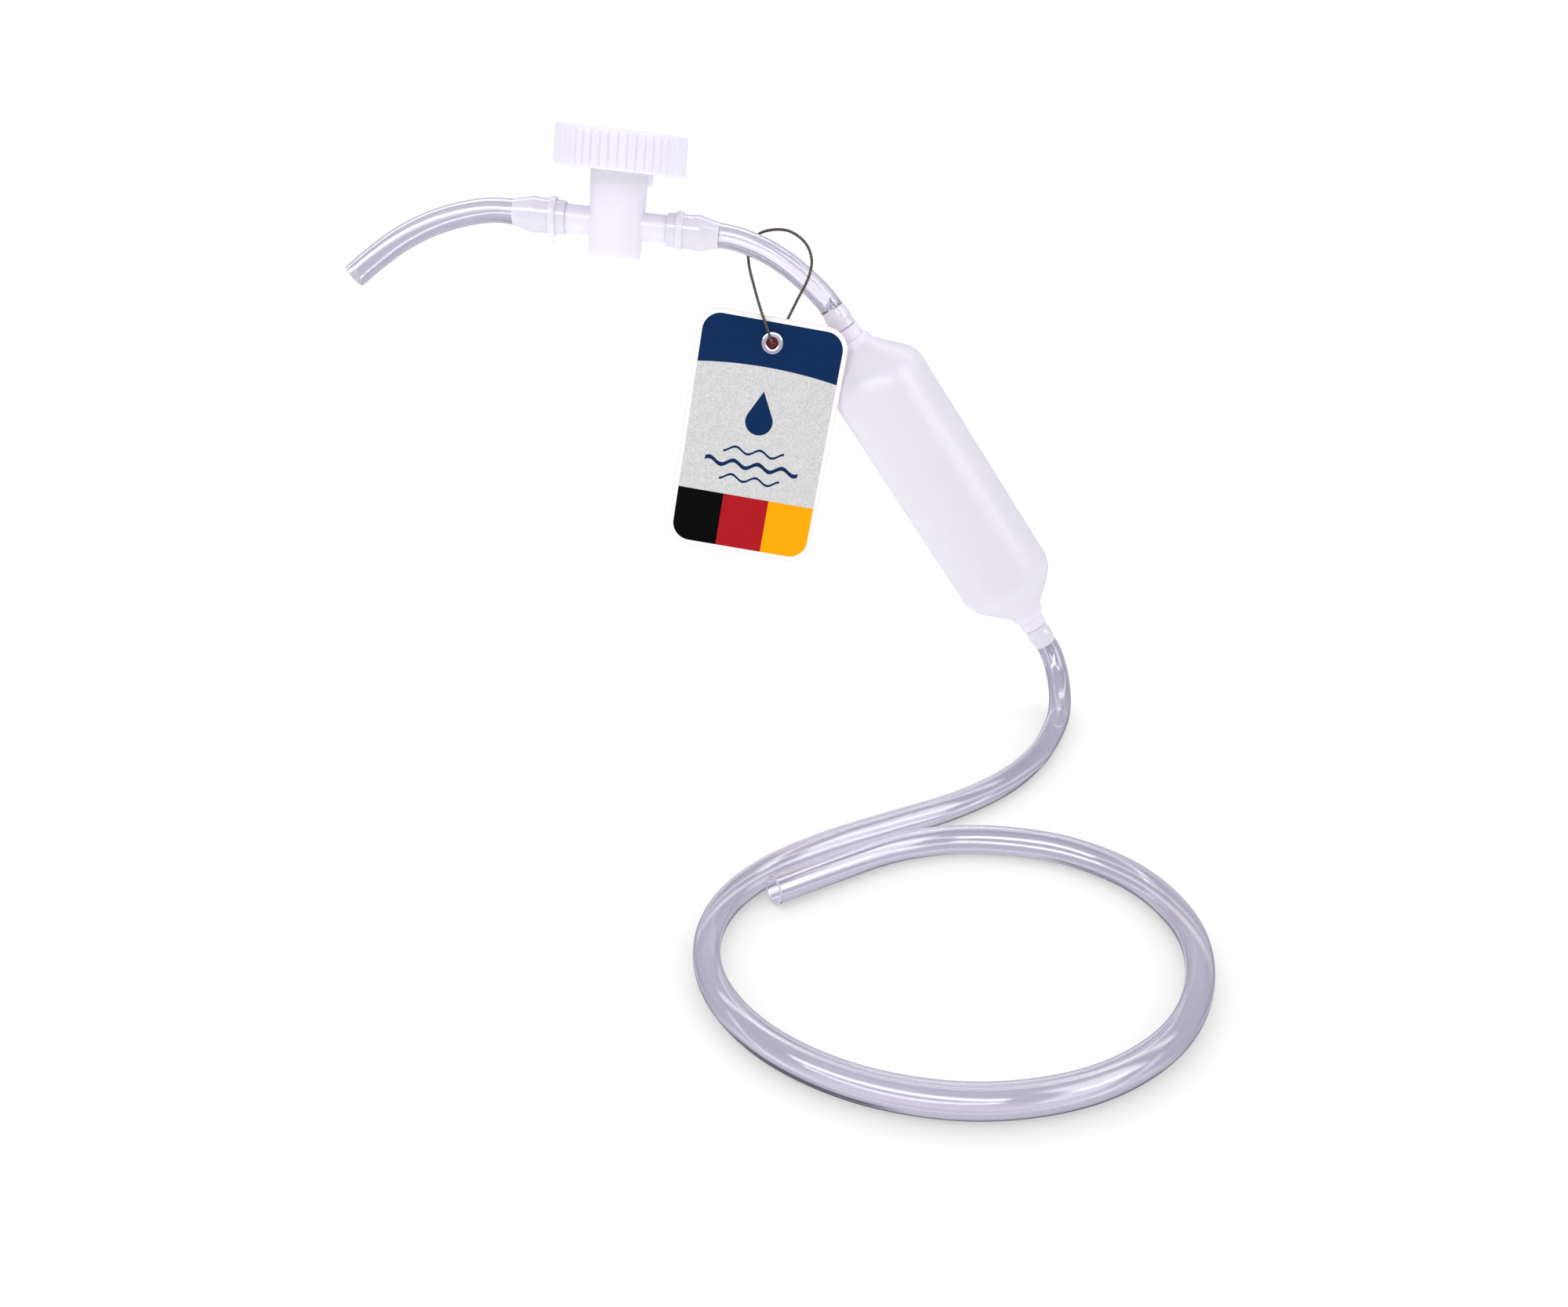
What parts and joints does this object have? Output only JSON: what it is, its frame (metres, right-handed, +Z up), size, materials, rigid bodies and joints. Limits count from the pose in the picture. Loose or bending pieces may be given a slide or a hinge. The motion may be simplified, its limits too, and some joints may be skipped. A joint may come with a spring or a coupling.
{
  "type": "hand siphon",
  "caption": "Hand siphon with a squeeze bulb, a quarter-turn tap with a ribbed knob, clear hoses on barbs and a swing tag on a string.",
  "frame": {"origin": "where the tap's arms cross the axis of its barrel, the place where a hand or a clip holds it", "axes": "+X from the tap towards the bulb, -Y towards the front, +Z up; the floor under the suction hose is at z = -262.5 mm"},
  "size_m": [0.3896, 0.3887, 0.3097],
  "materials": {
    "milky_tap": "milky natural polyethylene, soft sheen",
    "milky_bulb": "milky translucent blow-moulded polyethylene",
    "clear_hose": "clear soft PVC, glossy",
    "seal_rubber": "black nitrile",
    "spring_steel": "stainless",
    "printed_card": "matt textured card, printed",
    "eyelet_metal": "bright nickel",
    "red_fibre": "dark red fibre",
    "dark_string": "thin dark cord"
  },
  "bodies": {
    "siphon": {"tap_body": "milky_tap", "plug_retaining_ring": "spring_steel", "outlet_hose_clip": "milky_tap", "link_hose_clip": "milky_tap", "squeeze_bulb": "milky_bulb", "outlet_hose": "clear_hose", "link_hose": "clear_hose", "suction_hose": "clear_hose"},
    "knob": {"tap_knob": "milky_tap", "tap_plug": "milky_tap", "plug_seal_lower": "seal_rubber", "plug_seal_upper": "seal_rubber"},
    "swing_tag": {"tag_card": "printed_card", "tag_eyelet": "eyelet_metal", "tag_fibre_washer": "red_fibre", "tag_string": "dark_string"}
  },
  "joints": [
    {"name": "knob_turn", "type": "hinge", "parent": "siphon", "child": "knob", "pos_m": [0, 0, 0], "axis": [0.1097, 0, 0.994], "range_deg": [0, 90]},
    {"name": "tag_swing", "type": "hinge", "parent": "siphon", "child": "swing_tag", "pos_m": [0.082, 0, -0.017], "axis": [-0.83, 0, 0.5578], "range_deg": [0, 60]}
  ]
}
